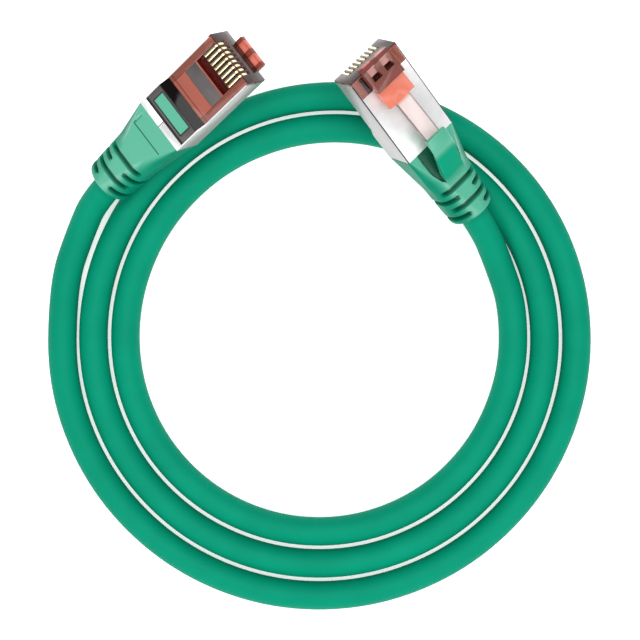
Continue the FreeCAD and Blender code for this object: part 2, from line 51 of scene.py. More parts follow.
# The camera looks straight down. The light is a large softbox overhead and two smaller ones in front, each
# given by its place, its width in metres and its power in watts, with weak fill all round.
CAMERA_PLACE = (0.00012, 0.0016, 0.3528)
FOCAL_LENGTH = 100.2
SENSOR_WIDTH = 36.0
NEAREST_SEEN = 0.01
SOFTBOXES = (("overhead", (0.05, 0.1, 0.9), 0.9, 7.2),
             ("front_left", (-0.45, -0.4, 0.4), 0.5, 1.7),
             ("front_right", (0.4, -0.48, 0.4), 0.5, 1.7))
FILL_LIGHT = 0.32
SHARP_EDGE = math.radians(35)


def add_camera():
    data = bpy.data.cameras.new("camera")
    data.lens = FOCAL_LENGTH
    data.sensor_width = SENSOR_WIDTH
    data.clip_start = NEAREST_SEEN
    camera = bpy.data.objects.new("camera", data)
    camera.location = CAMERA_PLACE
    bpy.context.scene.collection.objects.link(camera)
    bpy.context.scene.camera = camera


def add_softbox(name, place, width, power):
    """A round lamp that faces the middle of the object."""
    data = bpy.data.lights.new(name, "AREA")
    data.shape = "DISK"
    data.size = width
    data.energy = power
    lamp = bpy.data.objects.new(name, data)
    lamp.location = place
    lamp.rotation_euler = (-Vector(place)).to_track_quat("-Z", "Y").to_euler()
    bpy.context.scene.collection.objects.link(lamp)


def white(strength):
    """A grey of the given strength, as a colour or as a plain number for a ramp."""
    return (strength, strength, strength, 1.0)


def place_camera_and_light():
    add_camera()
    for softbox in SOFTBOXES:
        add_softbox(*softbox)
    world = bpy.data.worlds.new("studio")
    world.use_nodes = True
    background = world.node_tree.nodes["Background"]
    background.inputs["Color"].default_value = white(1.0)
    background.inputs["Strength"].default_value = FILL_LIGHT
    bpy.context.scene.world = world
    bpy.context.scene.view_settings.view_transform = "Standard"


place_camera_and_light()


# The floor: a plain sheet of matt white card, laid flat and larger than the view. It glows a little, so that
# it shows white all over, as a cut-out background does.
FLOOR_WHITE = white(0.93)
FLOOR_BRIGHT = white(0.95)
FLOOR_ROUGHNESS = 0.9
FLOOR_GLOW = 0.5
FLOOR_HALF = 1.5


def new_object(name, bm, material):
    """Turns a bmesh into a finished piece at the origin, smooth except at its sharp edges."""
    mesh = bpy.data.meshes.new(name)
    bm.to_mesh(mesh)
    bm.free()
    mesh.materials.append(material)
    mesh.shade_smooth()
    mesh.set_sharp_from_angle(angle=SHARP_EDGE)
    piece = bpy.data.objects.new(name, mesh)
    bpy.context.scene.collection.objects.link(piece)
    return piece


def link(tree, source, target):
    tree.links.new(source, target)


def node_material(name):
    """A new material, its node tree and its Principled shader."""
    material = bpy.data.materials.new(name)
    material.use_nodes = True
    tree = material.node_tree
    shader = tree.nodes["Principled BSDF"]
    return material, tree, shader


def speckle(tree, scale, detail=3.0, stretch=(1.0, 1.0, 1.0)):
    """Noise on the object's own coordinates."""
    place = tree.nodes.new("ShaderNodeTexCoord")
    mapping = tree.nodes.new("ShaderNodeMapping")
    mapping.inputs["Scale"].default_value = stretch
    noise = tree.nodes.new("ShaderNodeTexNoise")
    noise.inputs["Scale"].default_value = scale
    noise.inputs["Detail"].default_value = detail
    link(tree, place.outputs["Object"], mapping.inputs["Vector"])
    link(tree, mapping.outputs["Vector"], noise.inputs["Vector"])
    return noise.outputs["Fac"]


def ramp(tree, factor, low_spot, low_colour, high_spot, high_colour):
    """A blend from one colour to another over part of the factor's range."""
    blend = tree.nodes.new("ShaderNodeValToRGB")
    blend.color_ramp.elements[0].position = low_spot
    blend.color_ramp.elements[0].color = low_colour
    blend.color_ramp.elements[1].position = high_spot
    blend.color_ramp.elements[1].color = high_colour
    link(tree, factor, blend.inputs["Fac"])
    return blend.outputs["Color"]


def make_floor():
    material, tree, shader = node_material("white_card")
    shade = ramp(tree, speckle(tree, 3.0), 0.4, FLOOR_WHITE, 0.6, FLOOR_BRIGHT)
    link(tree, shade, shader.inputs["Base Color"])
    shader.inputs["Roughness"].default_value = FLOOR_ROUGHNESS
    shader.inputs["Specular IOR Level"].default_value = 0.0
    shader.inputs["Emission Color"].default_value = white(1.0)
    shader.inputs["Emission Strength"].default_value = FLOOR_GLOW
    bm = bmesh.new()
    bmesh.ops.create_grid(bm, x_segments=1, y_segments=1, size=FLOOR_HALF)
    floor = new_object("floor", bm, material)


make_floor()

# The cable: one length of round green PVC-jacketed cable, extruded over its braid, coiled flat by hand so
# that its turns lie side by side. Each end is moulded into a boot.
CABLE_RADIUS = 2.8
COIL_RADIUS = 50.6
COIL_GAP = 0.69
HALF_PITCH = CABLE_RADIUS + COIL_GAP / 2
HALF_TURNS = 5
POINTS_PER_HALF_TURN = 8
COIL_SHIFT = Vector((-0.08, -1.9, 0.0))
STRIP_POINT = 25.9
PLUG_LENGTH = 19.8
BOOT_END = 37.8
STRAIGHT_PAST_BOOT = 4.0
AXIS_Z = -0.55
# Where each boot ends (angle, out, lift) and how its plug lies (heading, rise, roll).
BOOT_ENDS = {"a": (145.1, -0.6, 5.0), "b": (43.9, 1.45, 5.8)}
HEADINGS = {"a": (40.0, 29.0, -5.5), "b": (129.5, 28.0, 10.5)}
GREEN_DEEP = (0.0, 0.235, 0.135, 1.0)
GREEN_BRIGHT = (0.0, 0.265, 0.155, 1.0)
JACKET_SHEEN = 0.06


def beside_turn(half_turns, angle, out, lift):
    """A point by the coil: its angle, how far outside the turn's centre line, and how far above it."""
    radius = COIL_RADIUS - half_turns * HALF_PITCH + out
    middle = HALF_PITCH if half_turns % 2 else 0.0
    angle = math.radians(angle)
    place = Vector((middle + radius * math.cos(angle), radius * math.sin(angle), CABLE_RADIUS + lift))
    return place + COIL_SHIFT


def plug_matrix(plug):
    """From plug millimetres, X back from the nose and Z towards the latch, to the row's metres."""
    heading, rise, roll = (math.radians(angle) for angle in HEADINGS[plug])
    nose = Vector((math.cos(heading) * math.cos(rise), math.sin(heading) * math.cos(rise), math.sin(rise)))
    top = Vector((-math.cos(heading) * math.sin(rise), -math.sin(heading) * math.sin(rise), math.cos(rise)))
    top = top * math.cos(roll) + nose.cross(top) * math.sin(roll)
    latch = -top if plug == "a" else top
    back = -nose
    turn = Matrix((back, latch.cross(back), latch)).transposed()
    end = beside_turn(-1 if plug == "a" else HALF_TURNS, *BOOT_ENDS[plug])
    start = end - turn @ Vector((BOOT_END, 0.0, AXIS_Z))
    return Matrix.Scale(MM, 4) @ Matrix.Translation(start) @ turn.to_4x4()


PLUG_MATRICES = {plug: plug_matrix(plug) for plug in PLUGS}


def cable_points():
    """The route's points: given one by one where it leaves each boot, and a two-centre spiral for the coil.
    """
    step = 180 / POINTS_PER_HALF_TURN
    coil = []
    for half_turn in range(HALF_TURNS):
        radius = COIL_RADIUS - half_turn * HALF_PITCH
        out = radius / math.cos(math.radians(step / 2)) - radius
        for index in range(POINTS_PER_HALF_TURN):
            coil.append(beside_turn(half_turn, 180 * (half_turn + 1) + step * (index + 0.5), out, 0))
    leaving_a = [beside_turn(-1, 157.8, 0.35, 0.1), beside_turn(-1, 168.7, 0.7, 0)]
    reaching_b = [beside_turn(HALF_TURNS, 9.7, 0.69, 0), beside_turn(HALF_TURNS, 25.5, 0.42, 0.6)]
    free = [point * MM for point in leaving_a + coil + reaching_b]
    along = (STRIP_POINT, BOOT_END + STRAIGHT_PAST_BOOT)
    in_boot_a = [PLUG_MATRICES["a"] @ Vector((place, 0, AXIS_Z)) for place in along]
    in_boot_b = [PLUG_MATRICES["b"] @ Vector((place, 0, AXIS_Z)) for place in reversed(along)]
    return in_boot_a + free + in_boot_b


def grain(tree, shader, factor, depth):
    """A fine bump, its depth in metres."""
    bump = tree.nodes.new("ShaderNodeBump")
    bump.inputs["Strength"].default_value = 0.3
    bump.inputs["Distance"].default_value = depth
    link(tree, factor, bump.inputs["Height"])
    link(tree, bump.outputs["Normal"], shader.inputs["Normal"])


def make_cable():
    material, tree, shader = node_material("cable_jacket")
    mottle = speckle(tree, 120.0, 4.0)
    link(tree, ramp(tree, mottle, 0.3, GREEN_DEEP, 0.7, GREEN_BRIGHT), shader.inputs["Base Color"])
    fine = speckle(tree, 1800.0, 3.0)
    spread = ramp(tree, fine, 0.3, white(0.52), 0.7, white(0.62))
    link(tree, spread, shader.inputs["Roughness"])
    grain(tree, shader, fine, 0.00003)
    shader.inputs["Specular IOR Level"].default_value = JACKET_SHEEN
    data = bpy.data.curves.new("cable", "CURVE")
    data.dimensions = "3D"
    data.bevel_depth = CABLE_RADIUS * MM
    data.bevel_resolution = 10
    data.resolution_u = 10
    data.use_fill_caps = True
    spline = data.splines.new("NURBS")
    points = cable_points()
    spline.points.add(len(points) - 1)
    for control, point in zip(spline.points, points):
        control.co = (*point, 1.0)
    spline.order_u = 3
    spline.use_endpoint_u = True
    data.materials.append(material)
    cable = bpy.data.objects.new("cable", data)
    bpy.context.scene.collection.objects.link(cable)
    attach(cable, "cable")
    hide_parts("jacket")
    return cable


cable = make_cable()

# Plug housings: clear red-brown polycarbonate, injection moulded in one shot, with eight slots at the nose
# for the contacts and a recess behind them. The shield is folded round each one.
RAMP_START = 12.3
RAMP_END = 14.0
CONTACT_LENGTH = 3.7
RECESS_END = 5.6
ROW_HALF = 4.12
SIDE_WALL = 4.35
NOSE_TINT = (0.06, 0.025, 0.02, 1.0)
HOUSING_TINT = (0.70, 0.22, 0.16, 1.0)
HOUSING_CLEARNESS = 0.55
CLEAR_SHEEN = 0.12
CLEAR_IOR = 1.45
HOUSING_EDGE = 0.08
NOSE_SHELL = 0.1
STEP_SHELL = 0.12
INNER_STEP = 11.4
FACE_HIGH = -3.2
WALL_TINT = (0.46, 0.15, 0.11, 1.0)
# Painted shade: thin dark lines along the inside of the side walls and at the inner step.
EDGE_PAINTED_SHADE = (0.16, 0.04, 0.03, 1.0)
# Painted shade: the step in the clear housing is painted almost black.
STEP_PAINTED_SHADE = (0.006, 0.002, 0.002, 1.0)
# Painted shade: the ribs between the contacts are painted dark.
RIB_PAINTED_SHADE = (0.05, 0.02, 0.015, 1.0)
# Painted shade: the sunken floor of the recess behind the contacts is painted dark.
RECESS_PAINTED_SHADE = (0.16, 0.015, 0.01, 1.0)


def cad_copy(node_name, plug):
    """A merged copy of a CAD node's mesh in plug millimetres, its flat faces made whole again."""
    node = frame["nodes"][node_name]
    bm = bmesh.new()
    bm.from_mesh(node.data)
    bm.transform(PLUG_MATRICES[plug].inverted() @ node.matrix_world)
    bmesh.ops.remove_doubles(bm, verts=bm.verts[:], dist=0.001)
    bmesh.ops.dissolve_limit(bm, angle_limit=math.radians(1), verts=bm.verts[:], edges=bm.edges[:],
                             use_dissolve_boundaries=False, delimit=set())
    return bm


def soften(bm, radius, segments=2):
    """Rounds every sharp edge a little."""
    edges = [edge for edge in bm.edges
             if len(edge.link_faces) == 2 and edge.calc_face_angle() > math.radians(25)]
    bmesh.ops.bevel(bm, geom=edges, offset=radius, offset_type="OFFSET", segments=segments, profile=0.5,
                    affect="EDGES", clamp_overlap=True, material=-1)


def place_piece(name, bm, plug, material, body, replaced):
    """Notes each point's place in the plug for the material, then puts the piece where its plug lies."""
    notes = bm.verts.layers.float_vector.new("plug_place")
    for vert in bm.verts:
        vert[notes] = vert.co
    bmesh.ops.recalc_face_normals(bm, faces=bm.faces[:])
    bm.transform(PLUG_MATRICES[plug])
    piece = new_object(name, bm, material)
    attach(piece, body)
    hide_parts(*replaced)


def plug_place(tree):
    """The shader's own place in the plug, in millimetres: along, across and towards the latch."""
    note = tree.nodes.new("ShaderNodeAttribute")
    note.attribute_name = "plug_place"
    parts = tree.nodes.new("ShaderNodeSeparateXYZ")
    link(tree, note.outputs["Vector"], parts.inputs["Vector"])
    return parts.outputs


def maths(tree, operation, first, second=None):
    """One sum on a socket and, where it takes two, a number or another socket."""
    node = tree.nodes.new("ShaderNodeMath")
    node.operation = operation
    link(tree, first, node.inputs[0])
    if isinstance(second, (int, float)):
        node.inputs[1].default_value = second
    elif second is not None:
        link(tree, second, node.inputs[1])
    return node.outputs["Value"]


def spread_over(tree, value, low, high):
    """Turns a range of millimetres into 0 to 1."""
    fit = tree.nodes.new("ShaderNodeMapRange")
    fit.inputs["From Min"].default_value = low
    fit.inputs["From Max"].default_value = high
    link(tree, value, fit.inputs["Value"])
    return fit.outputs["Result"]


def before(tree, value, limit, soft=0.03):
    """1 below a limit, 0 above it."""
    return spread_over(tree, value, limit + soft, limit - soft)


def within(tree, value, low, high, soft=0.03):
    """1 between two places, 0 outside them."""
    rise = spread_over(tree, value, low - soft, low + soft)
    return maths(tree, "MULTIPLY", rise, before(tree, value, high, soft))


def paint(tree, factor, under, over):
    """A colour laid over another where the factor is 1."""
    blend = tree.nodes.new("ShaderNodeMix")
    blend.data_type = "RGBA"
    link(tree, factor, blend.inputs["Factor"])
    for colour, socket in ((under, blend.inputs[6]), (over, blend.inputs[7])):
        if isinstance(colour, tuple):
            socket.default_value = colour
        else:
            link(tree, colour, socket)
    return blend.outputs[2]


def clear_plastic(name, clearness):
    """Tinted clear plastic with a slight haze; its colour is still to be linked."""
    material, tree, shader = node_material(name)
    haze = ramp(tree, speckle(tree, 900.0), 0.35, white(0.06), 0.7, white(0.14))
    link(tree, haze, shader.inputs["Roughness"])
    shader.inputs["Transmission Weight"].default_value = clearness
    shader.inputs["IOR"].default_value = CLEAR_IOR
    shader.inputs["Specular IOR Level"].default_value = CLEAR_SHEEN
    return material, tree, shader


def housing_plastic():
    """Clear red-brown, darker in the side walls and the nose, with painted shade at the step, along the
    inner edges, between the contacts and in the cavities behind them.
    """
    material, tree, shader = clear_plastic("clear_housing", HOUSING_CLEARNESS)
    place = plug_place(tree)
    along = place["X"]
    aside = maths(tree, "ABSOLUTE", place["Y"])
    tint = paint(tree, spread_over(tree, aside, SIDE_WALL, SIDE_WALL + 0.1), HOUSING_TINT, WALL_TINT)
    inner_edge = within(tree, aside, SIDE_WALL - 0.12, SIDE_WALL)
    inner_step = within(tree, along, INNER_STEP, INNER_STEP + 0.15)
    # Painted shade: thin dark lines along the inner edges of the side walls and at the inner step.
    tint = paint(tree, maths(tree, "MAXIMUM", inner_edge, inner_step), tint, EDGE_PAINTED_SHADE)
    tint = paint(tree, spread_over(tree, along, NOSE_SHELL + 0.15, NOSE_SHELL), tint, NOSE_TINT)
    # Painted shade: the step is painted almost black, and below its sheen is taken away.
    tint = paint(tree, spread_over(tree, along, RAMP_START - STEP_SHELL, RAMP_START), tint, STEP_PAINTED_SHADE)
    in_row = before(tree, aside, ROW_HALF)
    # Painted shade: the ribs between the contacts are painted dark.
    rib_shade = maths(tree, "MULTIPLY", in_row, within(tree, along, 0.3, CONTACT_LENGTH))
    recess = maths(tree, "MULTIPLY", in_row, within(tree, along, CONTACT_LENGTH, RECESS_END + 0.05))
    # Painted shade: the sunken floor of the recess behind the contacts is painted dark.
    recess_shade = maths(tree, "MULTIPLY", recess, spread_over(tree, place["Z"], FACE_HIGH - 0.08, FACE_HIGH))
    tint = paint(tree, rib_shade, tint, RIB_PAINTED_SHADE)
    link(tree, paint(tree, recess_shade, tint, RECESS_PAINTED_SHADE), shader.inputs["Base Color"])
    before_step = spread_over(tree, along, RAMP_START, RAMP_START - STEP_SHELL)
    link(tree, maths(tree, "MULTIPLY", before_step, CLEAR_SHEEN), shader.inputs["Specular IOR Level"])
    return material


def make_housings():
    material = housing_plastic()
    for plug in PLUGS:
        bm = cad_copy(f"housing_{plug}", plug)
        soften(bm, HOUSING_EDGE)
        place_piece(f"housing_{plug}_shell", bm, plug, material, "cable", [f"housing_{plug}"])


make_housings()

# Shields: thin brass sheet, nickel plated, stamped and folded round the housing, with a band round the rear
# whose two ends meet at a seam on the contact side.
NICKEL_DULL = (0.90, 0.89, 0.90, 1.0)
NICKEL_BRIGHT = (0.95, 0.95, 0.95, 1.0)
# Painted shade: the shield's sides are painted a darker grey than its top.
NICKEL_SIDE_PAINTED_SHADE = (0.40, 0.385, 0.39, 1.0)
# Painted reflection: a thin dark line along each top fold of the shield.
FOLD_PAINTED_REFLECTION = (0.03, 0.025, 0.025, 1.0)
NICKEL_METAL = 0.62
SHIELD_EDGE = 0.1
HALF_WIDTH = 5.84
HALF_HEIGHT = 3.3


def make_shields():
    material, tree, shader = node_material("nickel_plate")
    place = plug_place(tree)
    aside = maths(tree, "ABSOLUTE", place["Y"])
    rolled = speckle(tree, 300.0, 2.0, (1.0, 1.0, 6.0))
    plate = ramp(tree, rolled, 0.3, NICKEL_DULL, 0.7, NICKEL_BRIGHT)
    # Painted shade: the sides are painted a darker grey than the top.
    plate = paint(tree, spread_over(tree, aside, HALF_WIDTH - 0.04, HALF_WIDTH - 0.01), plate, NICKEL_SIDE_PAINTED_SHADE)
    # Painted reflection: a thin dark line along each top fold.
    fold_reflection = maths(tree, "MULTIPLY", spread_over(tree, aside, HALF_WIDTH - 0.22, HALF_WIDTH - 0.2),
                 spread_over(tree, place["Z"], HALF_HEIGHT - 0.12, HALF_HEIGHT - 0.1))
    link(tree, paint(tree, fold_reflection, plate, FOLD_PAINTED_REFLECTION), shader.inputs["Base Color"])
    link(tree, ramp(tree, rolled, 0.3, white(0.36), 0.7, white(0.4)), shader.inputs["Roughness"])
    shader.inputs["Metallic"].default_value = NICKEL_METAL
    for plug in PLUGS:
        bm = cad_copy(f"shield_{plug}", plug)
        soften(bm, SHIELD_EDGE)
        place_piece(f"shield_{plug}_sheet", bm, plug, material, "cable", [f"shield_{plug}"])


make_shields()

# Latches: the same clear plastic, a springy tongue moulded at the nose, with a thick head that has two
# pockets, shoulders that catch the socket and a thin arm to press.
LATCH_CLEARNESS = 0.45
LATCH_EDGE = 0.12
LATCH_END = 17.8
LATCH_LOW = 3.62
LATCH_SLOPE = 0.148
HEAD_END = 4.0
UNDERSIDE_HIGH = 1.4
SHOULDER = 8.0
ARM_HALF = 1.625
POCKET_ACROSS = 1.55
POCKET_HALF = 0.95
POCKET_RIM = 4.05
POCKET_START = -0.6
POCKET_MIDDLE = 1.3
POCKET_END = 1.95
HEAD_TINT = (0.30, 0.11, 0.09, 1.0)
SHOULDER_TINT = (0.97, 0.30, 0.20, 1.0)
ARM_TINT = (0.99, 0.86, 0.84, 1.0)
# Painted shade: a dark strip along each side of the latch arm.
ARM_EDGE_PAINTED_SHADE = (0.20, 0.10, 0.09, 1.0)
# Painted highlight on the front half of each pocket, and painted shadow on its rear half.
POCKET_PAINTED_HIGHLIGHT = (1.0, 0.6, 0.56, 1.0)
POCKET_PAINTED_SHADOW = (0.03, 0.008, 0.006, 1.0)
TIP_TINT = (0.85, 0.20, 0.14, 1.0)
TIP_DARK = (0.35, 0.06, 0.04, 1.0)


def many_ramp(tree, factor, stops):
    """A colour ramp of several stops, each a position and a colour."""
    blend = tree.nodes.new("ShaderNodeValToRGB")
    elements = blend.color_ramp.elements
    while len(elements) < len(stops):
        elements.new(0.5)
    for element, (position, colour) in zip(elements, stops):
        element.position = position
        element.color = colour
    link(tree, factor, blend.inputs["Fac"])
    return blend.outputs["Color"]


def latch_plastic():
    """Dark in the head, bright in the shoulders and almost colourless in the arm, with painted shade along
    the arm's edges and a painted highlight and painted shadow in each pocket.
    """
    material, tree, shader = clear_plastic("clear_latch", LATCH_CLEARNESS)
    place = plug_place(tree)
    aside = maths(tree, "ABSOLUTE", place["Y"])
    head_share = HEAD_END / LATCH_END
    shoulder_share = SHOULDER / LATCH_END
    tint = many_ramp(tree, spread_over(tree, place["X"], 0.0, LATCH_END), [
        (head_share, HEAD_TINT), (head_share + 0.01, SHOULDER_TINT),
        (shoulder_share, SHOULDER_TINT), (shoulder_share + 0.04, ARM_TINT)])
    level = maths(tree, "SUBTRACT", place["Z"], maths(tree, "MULTIPLY", place["X"], LATCH_SLOPE))
    low = maths(tree, "MULTIPLY", before(tree, level, LATCH_LOW + UNDERSIDE_HIGH, 0.1),
                before(tree, place["X"], HEAD_END - 0.15, 0.05))
    beside_pocket = within(tree, aside, POCKET_ACROSS - POCKET_HALF, POCKET_ACROSS + POCKET_HALF)
    tint = paint(tree, low, tint, paint(tree, beside_pocket, TIP_DARK, TIP_TINT))
    # Painted shade: a dark strip along each side of the arm.
    edge = maths(tree, "MULTIPLY", spread_over(tree, aside, ARM_HALF - 0.14, ARM_HALF - 0.1),
                 spread_over(tree, place["X"], SHOULDER + 0.1, SHOULDER + 0.3))
    tint = paint(tree, edge, tint, ARM_EDGE_PAINTED_SHADE)
    above_rim = spread_over(tree, level, POCKET_RIM - 0.05, POCKET_RIM + 0.05)
    pocket = maths(tree, "MULTIPLY", beside_pocket, above_rim)
    # A painted highlight on the front half of each pocket and a painted shadow on its rear half.
    for start, end, colour in ((POCKET_START, POCKET_MIDDLE, POCKET_PAINTED_HIGHLIGHT),
                               (POCKET_MIDDLE, POCKET_END, POCKET_PAINTED_SHADOW)):
        patch = maths(tree, "MULTIPLY", pocket, within(tree, place["X"], start, end))
        tint = paint(tree, patch, tint, colour)
    link(tree, tint, shader.inputs["Base Color"])
    return material


def make_latches():
    material = latch_plastic()
    for plug in PLUGS:
        bm = cad_copy(f"latch_{plug}", plug)
        soften(bm, LATCH_EDGE)
        place_piece(f"latch_{plug}_tongue", bm, plug, material, f"latch_{plug}",
                    [f"latch_{plug}"])


make_latches()

# Contacts: eight blades per plug, stamped from phosphor bronze and flashed with gold, pressed down through
# the housing's slots until their teeth bite the wires.
CONTACT_FRONT = 0.12
CONTACT_THICKNESS = 0.5
CONTACT_PITCH = 1.02
CONTACT_OUTER = -3.25
CONTACT_TIP = -0.225
CONTACT_CURVE = 0.95
CONTACT_TOOTH = 0.7
CONTACT_EDGE = 0.05
GOLD_DULL = (0.88, 0.68, 0.33, 1.0)
GOLD_BRIGHT = (0.97, 0.86, 0.58, 1.0)


def contact_outline():
    """A blade seen from the side: flat on top, rounded at the nose, two teeth at the bottom."""
    root = CONTACT_TIP - CONTACT_TOOTH
    step = CONTACT_LENGTH / 8
    outline = [(CONTACT_LENGTH, root), (CONTACT_LENGTH, CONTACT_OUTER)]
    for index in range(7):
        turn = math.radians(index * 15)
        outline.append((CONTACT_FRONT + CONTACT_CURVE * (1 - math.sin(turn)),
                        CONTACT_OUTER + CONTACT_CURVE * (1 - math.cos(turn))))
    outline.extend([(CONTACT_FRONT, root), (2 * step, root), (3 * step, CONTACT_TIP), (4 * step, root),
                    (6 * step, root), (7 * step, CONTACT_TIP)])
    return outline


def make_contacts():
    material, tree, shader = node_material("gold_flash")
    wear = speckle(tree, 700.0, 3.0)
    link(tree, ramp(tree, wear, 0.3, GOLD_DULL, 0.7, GOLD_BRIGHT), shader.inputs["Base Color"])
    link(tree, ramp(tree, wear, 0.3, white(0.2), 0.7, white(0.3)), shader.inputs["Roughness"])
    shader.inputs["Metallic"].default_value = 1.0
    for plug in PLUGS:
        for index in range(8):
            across = (index - 3.5) * CONTACT_PITCH
            bm = bmesh.new()
            rim = [bm.verts.new((x, across - CONTACT_THICKNESS / 2, z)) for x, z in contact_outline()]
            blade = bm.faces.new(rim)
            extruded = bmesh.ops.extrude_face_region(bm, geom=[blade])
            moved = [item for item in extruded["geom"] if isinstance(item, bmesh.types.BMVert)]
            bmesh.ops.translate(bm, verts=moved, vec=(0, CONTACT_THICKNESS, 0))
            soften(bm, CONTACT_EDGE)
            place_piece(f"contact_{plug}_{index + 1}_blade", bm, plug, material, "cable",
                        [f"contact_{plug}_{index + 1}"])


make_contacts()

# Wire combs and strain relief clamps: dull dark-grey nylon blocks. The comb lines up the eight wires inside
# the housing; the clamp's frame closes the housing behind the step, round a window.
GREY_DARK = (0.068, 0.058, 0.056, 1.0)
GREY_LIGHT = (0.092, 0.08, 0.078, 1.0)
# Painted shade: near black in the window, along the front and behind the rear bar.
GAP_PAINTED_SHADE = (0.004, 0.004, 0.004, 1.0)
WINDOW_START = 14.7
WINDOW_END = 17.1
WINDOW_HALF = 4.1
LINE_WIDTH = 0.24
FRONT_LINE = 0.5
REAR_BAR = 0.55
COMB_EDGE = 0.05
CLAMP_EDGE = 0.08


def moulded_plastic(name, low_colour, high_colour, roughness):
    """Plastic with a faint mottle in its colour and a fine spark-eroded grain.

    The mottle is some 6 mm across and the grain some 0.4 mm.
    """
    material, tree, shader = node_material(name)
    mottle = speckle(tree, 180.0, 2.0)
    link(tree, ramp(tree, mottle, 0.35, low_colour, 0.65, high_colour), shader.inputs["Base Color"])
    fine = speckle(tree, 2500.0, 2.0)
    spread = ramp(tree, fine, 0.3, white(roughness - 0.05), 0.7, white(roughness + 0.06))
    link(tree, spread, shader.inputs["Roughness"])
    grain(tree, shader, fine, 0.00002)
    return material, tree, shader


def make_grey_blocks():
    material, tree, shader = moulded_plastic("grey_nylon", GREY_DARK, GREY_LIGHT, 0.45)
    place = plug_place(tree)
    aside = maths(tree, "ABSOLUTE", place["Y"])
    # Painted shade: the window and a strip round it are painted near black.
    window_shade = maths(tree, "MULTIPLY",
                        within(tree, place["X"], WINDOW_START - LINE_WIDTH, WINDOW_END + LINE_WIDTH),
                        before(tree, aside, WINDOW_HALF + LINE_WIDTH))
    colour = paint(tree, window_shade, shader.inputs["Base Color"].links[0].from_socket, GAP_PAINTED_SHADE)
    # Painted shade: a dark band at the front and everything behind the rear bar are painted near black.
    front_gap_shade = within(tree, place["X"], RAMP_END - FRONT_LINE, RAMP_END + LINE_WIDTH)
    rear_gap_shade = spread_over(tree, place["X"], WINDOW_END + REAR_BAR, WINDOW_END + REAR_BAR + 0.05)
    colour = paint(tree, front_gap_shade, colour, GAP_PAINTED_SHADE)
    link(tree, paint(tree, rear_gap_shade, colour, GAP_PAINTED_SHADE), shader.inputs["Base Color"])
    for plug in PLUGS:
        for kind, radius in (("wire_comb", COMB_EDGE), ("relief_clamp", CLAMP_EDGE)):
            bm = cad_copy(f"{kind}_{plug}", plug)
            soften(bm, radius)
            place_piece(f"{kind}_{plug}_block", bm, plug, material, "cable", [f"{kind}_{plug}"])


make_grey_blocks()

# Boots: soft green PVC moulded over the plug's rear and the cable, square in front and round at the tail,
# with a channel for the latch guard and four rows of slots that let it flex.
FRONT_CORNER = 0.4
WAIST = 29.4
WAIST_HALF = 4.8
WAIST_CORNER = 3.0
TAIL_RADIUS = 4.65
TAIL_CORNER = 4.5
TAIL_ROUND = 0.4
FRONT_HIGH = 3.85
CORNER_FLATNESS = 0.85
FLATNESS_FADE = 3.0
RIB_START = 29.4
RIB_STEP = 2.12
RIB_WIDTH = 1.0
RIB_DEPTH = 1.0
RIB_REACH = 4.2
RIB_SIDE = 1.9
RIB_CORNER = 0.45
RIB_SOFT = 0.16
SPLIT_HALF = 5.0
CHANNEL_HALF = 3.55
CHANNEL_TAPER = 23.5
CHANNEL_NARROWING = 1.3
CHANNEL_END = 27.9
CHANNEL_REACH = 10.0
CHANNEL_CORNER = 0.6
CHANNEL_SOFT = 0.2
CHANNEL_FLOOR = 2.6
PANEL_LINE = 23.3
PANEL_FRONT = 21.0
PANEL_HALF = 3.85
PANEL_GROOVE = 0.09
PANEL_SOFT = 0.1
PANEL_DEPTH = 0.2
PANEL_CORNER = 0.02
MOULD_END = 26.93
BORE_PLAY = 0.015
MOULD_BORE = (3.63, -3.13, 1.93, 0.05)
HOOD_EDGE = 0.3
HOOD_LOW = 4.2
HOOD_SLOPE = (20.7, 27.1)
# Painted shade: the hood's slope is painted a darker green than its painted sheen.
HOOD_SLOPE_PAINTED_SHADE = (0.0, 0.29, 0.165, 1.0)
ARC_STEPS = 18
FLAT_STEPS = (10, 44, 10, 60)
RING_STEP = 0.55
BOOT_LIGHT = (0.0, 0.23, 0.135, 1.0)
BOOT_DEEP = (0.0, 0.2, 0.115, 1.0)
# Painted sheen: a lighter green on the flat faces, beside their real polish.
BOOT_PAINTED_SHEEN = (0.05, 0.37, 0.235, 1.0)
# Painted shade: the slots, the channel and the panel line are painted dark.
BOOT_CUT_PAINTED_SHADE = (0.0, 0.09, 0.045, 1.0)


def blend_between(low, high, share):
    return low + (high - low) * share


def direction(degrees):
    angle = math.radians(degrees)
    return Vector((math.cos(angle), math.sin(angle)))


def rounded_outline(half_width, low, high, corner, flatness):
    """Points and outward directions round a section across the plug; flatness cuts the corners straight."""
    spots = ((half_width - corner, low + corner, 270), (half_width - corner, high - corner, 0),
             (corner - half_width, high - corner, 90), (corner - half_width, low + corner, 180))
    arcs = []
    for across, height, start in spots:
        middle = Vector((across, height))
        first = middle + corner * direction(start)
        last = middle + corner * direction(start + 90)
        arc = []
        for index in range(ARC_STEPS + 1):
            share = index / ARC_STEPS
            outward = direction(start + 90 * share)
            point = middle + corner * outward
            arc.append((point.lerp(first.lerp(last, share), flatness), outward))
        arcs.append(arc)
    outline = []
    for index, arc in enumerate(arcs):
        outline.extend(arc)
        end, outward = arc[-1]
        start = arcs[(index + 1) % 4][0][0]
        steps = FLAT_STEPS[index]
        outline.extend((end.lerp(start, step / steps), outward) for step in range(1, steps))
    return outline


def rounded_box_distance(x, y, half_x, half_y, corner):
    """How far a point is outside a rounded box, less than nothing when inside."""
    over_x = abs(x) - half_x + corner
    over_y = abs(y) - half_y + corner
    outside = math.hypot(max(over_x, 0.0), max(over_y, 0.0))
    return outside + min(max(over_x, over_y), 0.0) - corner


def cut_share(distance, soft):
    """1 inside a cut and 0 outside it, with a soft edge."""
    share = min(max(0.5 - distance / soft, 0.0), 1.0)
    return share * share * (3 - 2 * share)


